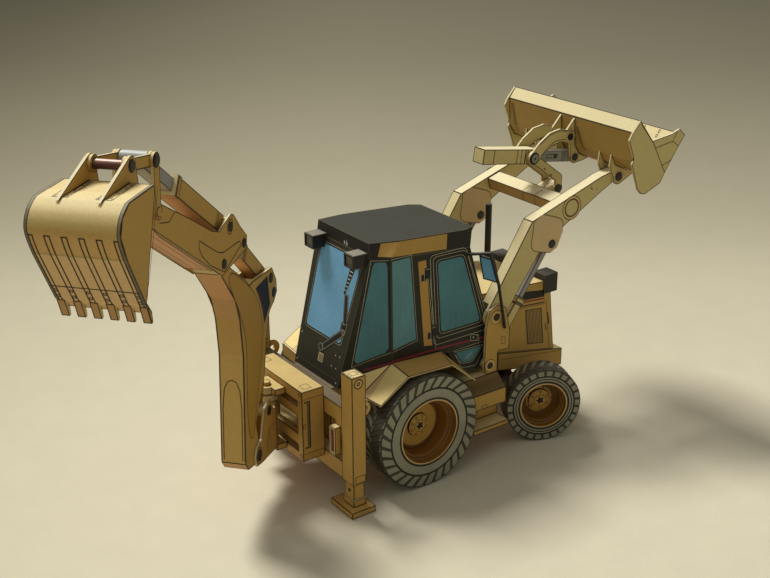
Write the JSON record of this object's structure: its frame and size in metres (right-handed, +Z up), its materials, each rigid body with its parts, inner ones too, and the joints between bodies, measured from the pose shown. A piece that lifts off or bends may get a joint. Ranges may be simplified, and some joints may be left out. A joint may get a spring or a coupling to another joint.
{
  "type": "backhoe loader",
  "caption": "Card model of a backhoe loader, loader bucket raised, hoe swung right, stabilisers down, with working joints.",
  "frame": {"origin": "on the floor, on the mid-plane, under the rear axle", "axes": "+X towards the loader end, +Y to the machine's left, +Z up"},
  "size_m": [0.2761, 0.1347, 0.1559],
  "materials": {
    "yellow_card": "matt",
    "black_card": "matt",
    "roof_card": "matt",
    "cab_card": "matt",
    "grey_card": "matt",
    "orange_card": "matt",
    "rod_card": "matt",
    "copper_rod": "satin"
  },
  "bodies": {
    "machine": {"chassis": "yellow_card", "hood": "yellow_card", "grille": "black_card", "cab_shell": "cab_card", "cab_roof": "roof_card", "fender_right": "yellow_card", "fender_left": "yellow_card", "tank_right": "yellow_card", "tank_left": "yellow_card", "tower_right": "yellow_card", "tower_left": "yellow_card", "exhaust_stack": "black_card", "headlamp_right": "black_card", "headlamp_left": "black_card", "work_lamp_right": "black_card", "work_lamp_left": "black_card", "mirror_right": "black_card", "mirror_left": "black_card", "rear_frame": "yellow_card", "rear_lamp_right": "yellow_card", "rear_lamp_left": "yellow_card", "rear_axle": "black_card", "front_axle": "black_card"},
    "rear_wheel_right": {"rear_tyre_right": "grey_card", "rear_rim_right": "orange_card"},
    "knuckle_right": {"knuckle_right": "black_card"},
    "front_wheel_right": {"front_tyre_right": "grey_card", "front_rim_right": "orange_card"},
    "stabiliser_right": {"stabiliser_right": "yellow_card"},
    "rear_wheel_left": {"rear_tyre_left": "grey_card", "rear_rim_left": "orange_card"},
    "knuckle_left": {"knuckle_left": "black_card"},
    "front_wheel_left": {"front_tyre_left": "grey_card", "front_rim_left": "orange_card"},
    "stabiliser_left": {"stabiliser_left": "yellow_card"},
    "carriage": {"carriage": "yellow_card"},
    "swing_post": {"swing_post": "yellow_card"},
    "boom": {"boom": "yellow_card"},
    "boom_cylinder": {"boom_cylinder": "yellow_card"},
    "boom_rod": {"boom_rod": "rod_card"},
    "stick_cylinder": {"stick_cylinder": "yellow_card"},
    "stick_rod": {"stick_rod": "rod_card"},
    "stick": {"stick": "yellow_card"},
    "bucket_cylinder": {"bucket_cylinder": "yellow_card"},
    "bucket_rod": {"bucket_rod": "rod_card"},
    "side_links": {"side_links": "yellow_card"},
    "bucket_links": {"bucket_links": "yellow_card"},
    "hoe_bucket": {"hoe_bucket": "yellow_card", "ear_rod": "copper_rod"},
    "loader_arms": {"loader_arms": "yellow_card"},
    "loader_bucket": {"loader_bucket": "yellow_card"},
    "tilt_lever": {"tilt_lever": "yellow_card"},
    "tilt_link": {"tilt_link": "yellow_card"},
    "tilt_cylinder": {"tilt_cylinder": "yellow_card"},
    "tilt_rod": {"tilt_rod": "rod_card"},
    "lift_cylinder_right": {"lift_cylinder_right": "yellow_card"},
    "lift_rod_right": {"lift_rod_right": "rod_card"},
    "lift_cylinder_left": {"lift_cylinder_left": "yellow_card"},
    "lift_rod_left": {"lift_rod_left": "rod_card"}
  },
  "joints": [
    {"name": "rear_wheel_right_spin", "type": "hinge", "parent": "machine", "child": "rear_wheel_right", "pos_m": [0, -0.0289, 0.022], "axis": [0, 1, 0], "continuous": true},
    {"name": "steering", "type": "hinge", "parent": "machine", "child": "knuckle_right", "pos_m": [0.0619, -0.0232, 0.0152], "axis": [0, 0, 1], "range_deg": [-8.5, 55.5]},
    {"name": "front_wheel_right_spin", "type": "hinge", "parent": "knuckle_right", "child": "front_wheel_right", "pos_m": [0.0619, -0.0232, 0.0152], "axis": [0.3987, 0.9171, 0], "continuous": true},
    {"name": "stabiliser_right_slide", "type": "slide", "parent": "machine", "child": "stabiliser_right", "axis": [0, 0, 1], "range_m": [0, 0.006]},
    {"name": "rear_wheel_left_spin", "type": "hinge", "parent": "machine", "child": "rear_wheel_left", "pos_m": [0, 0.0289, 0.022], "axis": [0, 1, 0], "continuous": true},
    {"name": "steering_left", "type": "hinge", "parent": "machine", "child": "knuckle_left", "pos_m": [0.0619, 0.0232, 0.0152], "axis": [0, 0, 1], "range_deg": [-8.5, 55.5]},
    {"name": "front_wheel_left_spin", "type": "hinge", "parent": "knuckle_left", "child": "front_wheel_left", "pos_m": [0.0619, 0.0232, 0.0152], "axis": [0.3987, 0.9171, 0], "continuous": true},
    {"name": "stabiliser_left_slide", "type": "slide", "parent": "machine", "child": "stabiliser_left", "axis": [0, 0, 1], "range_m": [0, 0.006]},
    {"name": "sideshift", "type": "slide", "parent": "machine", "child": "carriage", "axis": [0, 1, 0], "range_m": [-0.0065, 0.0065]},
    {"name": "swing", "type": "hinge", "parent": "carriage", "child": "swing_post", "pos_m": [-0.047, 0, 0.0286], "axis": [0, 0, 1], "range_deg": [-116, 34]},
    {"name": "boom_lift", "type": "hinge", "parent": "swing_post", "child": "boom", "pos_m": [-0.06617, -0.01666, 0.0266], "axis": [-0.6561, 0.7547, 0], "range_deg": [-50, 6]},
    {"name": "boom_cylinder_turn", "type": "hinge", "parent": "swing_post", "child": "boom_cylinder", "pos_m": [-0.05734, -0.00899, 0.038], "axis": [-0.6561, 0.7547, 0], "range_deg": [-62, 9]},
    {"name": "boom_rod_slide", "type": "slide", "parent": "boom_cylinder", "child": "boom_rod", "axis": [0.2419, 0.2103, 0.9472], "range_m": [-0.0016, 0.0112]},
    {"name": "stick_crowd", "type": "hinge", "parent": "boom", "child": "stick", "pos_m": [-0.08224, -0.03064, 0.1052], "axis": [0.6561, -0.7547, 0], "range_deg": [-2, 55]},
    {"name": "stick_cylinder_turn", "type": "hinge", "parent": "boom", "child": "stick_cylinder", "pos_m": [-0.04926, -0.00197, 0.0836], "axis": [-0.6561, 0.7547, 0], "range_deg": [-2, 12]},
    {"name": "stick_rod_slide", "type": "slide", "parent": "stick_cylinder", "child": "stick_rod", "axis": [-0.5724, -0.4976, 0.6518], "range_m": [-0.001, 0.0165]},
    {"name": "hoe_bucket_curl", "type": "hinge", "parent": "stick", "child": "hoe_bucket", "pos_m": [-0.12587, -0.06856, 0.1435], "axis": [0.6561, -0.7547, 0], "range_deg": [-60, 30]},
    {"name": "side_links_turn", "type": "hinge", "parent": "stick", "child": "side_links", "pos_m": [-0.11681, -0.06069, 0.137], "axis": [-0.6561, 0.7547, 0], "range_deg": [-23, 44]},
    {"name": "bucket_links_turn", "type": "hinge", "parent": "hoe_bucket", "child": "bucket_links", "pos_m": [-0.12715, -0.06967, 0.1534], "axis": [-0.6561, 0.7547, 0], "range_deg": [-56, 28]},
    {"name": "bucket_cylinder_turn", "type": "hinge", "parent": "stick", "child": "bucket_cylinder", "pos_m": [-0.07711, -0.02618, 0.1149], "axis": [-0.6561, 0.7547, 0], "range_deg": [-3, 4]},
    {"name": "bucket_rod_slide", "type": "slide", "parent": "bucket_cylinder", "child": "bucket_rod", "axis": [-0.6205, -0.5394, 0.5693], "range_m": [-0.0095, 0.005]},
    {"name": "loader_lift", "type": "hinge", "parent": "machine", "child": "loader_arms", "pos_m": [0.0398, 0, 0.0535], "axis": [0, -1, 0], "range_deg": [-65, 4]},
    {"name": "lift_cylinder_right_turn", "type": "hinge", "parent": "machine", "child": "lift_cylinder_right", "pos_m": [0.0372, -0.0213, 0.034], "axis": [0, -1, 0], "range_deg": [-50, 4]},
    {"name": "lift_rod_right_slide", "type": "slide", "parent": "lift_cylinder_right", "child": "lift_rod_right", "axis": [0.5778, 0, 0.8162], "range_m": [-0.0165, 0.002]},
    {"name": "lift_cylinder_left_turn", "type": "hinge", "parent": "machine", "child": "lift_cylinder_left", "pos_m": [0.0372, 0.0213, 0.034], "axis": [0, -1, 0], "range_deg": [-50, 4]},
    {"name": "lift_rod_left_slide", "type": "slide", "parent": "lift_cylinder_left", "child": "lift_rod_left", "axis": [0.5778, 0, 0.8162], "range_m": [-0.0165, 0.002]},
    {"name": "loader_bucket_dump", "type": "hinge", "parent": "loader_arms", "child": "loader_bucket", "pos_m": [0.1006, 0, 0.098], "axis": [0, 1, 0], "range_deg": [-15, 60]},
    {"name": "tilt_lever_turn", "type": "hinge", "parent": "loader_arms", "child": "tilt_lever", "pos_m": [0.0882, 0, 0.0902], "axis": [0, -1, 0], "range_deg": [-46, 12]},
    {"name": "tilt_link_turn", "type": "hinge", "parent": "tilt_lever", "child": "tilt_link", "pos_m": [0.0739, 0, 0.1053], "axis": [0, -1, 0], "range_deg": [-9, 32]},
    {"name": "tilt_cylinder_turn", "type": "hinge", "parent": "tilt_lever", "child": "tilt_cylinder", "pos_m": [0.0739, 0, 0.1053], "axis": [0, -1, 0], "range_deg": [-7, 26]},
    {"name": "tilt_rod_slide", "type": "slide", "parent": "tilt_cylinder", "child": "tilt_rod", "axis": [0.9871, 0, -0.1603], "range_m": [-0.008, 0.002]}
  ],
  "couplings": [
    {"joint": "steering_left", "follows": "steering", "ratio": 1},
    {"joint": "boom_cylinder_turn", "follows": "boom_lift", "ratio": 1.214},
    {"joint": "boom_rod_slide", "follows": "boom_lift", "m_per_rad": -0.01245},
    {"joint": "stick_cylinder_turn", "follows": "stick_crowd", "ratio": 0.166},
    {"joint": "stick_rod_slide", "follows": "stick_crowd", "m_per_rad": 0.01614},
    {"joint": "side_links_turn", "follows": "hoe_bucket_curl", "ratio": -0.697},
    {"joint": "bucket_links_turn", "follows": "hoe_bucket_curl", "ratio": 0.884},
    {"joint": "bucket_cylinder_turn", "follows": "hoe_bucket_curl", "ratio": -0.047},
    {"joint": "bucket_rod_slide", "follows": "hoe_bucket_curl", "m_per_rad": 0.00865},
    {"joint": "lift_cylinder_right_turn", "follows": "loader_lift", "ratio": 0.722},
    {"joint": "lift_rod_right_slide", "follows": "loader_lift", "m_per_rad": 0.01389},
    {"joint": "lift_cylinder_left_turn", "follows": "loader_lift", "ratio": 0.722},
    {"joint": "lift_rod_left_slide", "follows": "loader_lift", "m_per_rad": 0.01389},
    {"joint": "tilt_lever_turn", "follows": "loader_bucket_dump", "ratio": -0.743},
    {"joint": "tilt_link_turn", "follows": "loader_bucket_dump", "ratio": 0.501},
    {"joint": "tilt_cylinder_turn", "follows": "loader_bucket_dump", "ratio": 0.394},
    {"joint": "tilt_rod_slide", "follows": "loader_bucket_dump", "m_per_rad": -0.00708}
  ]
}
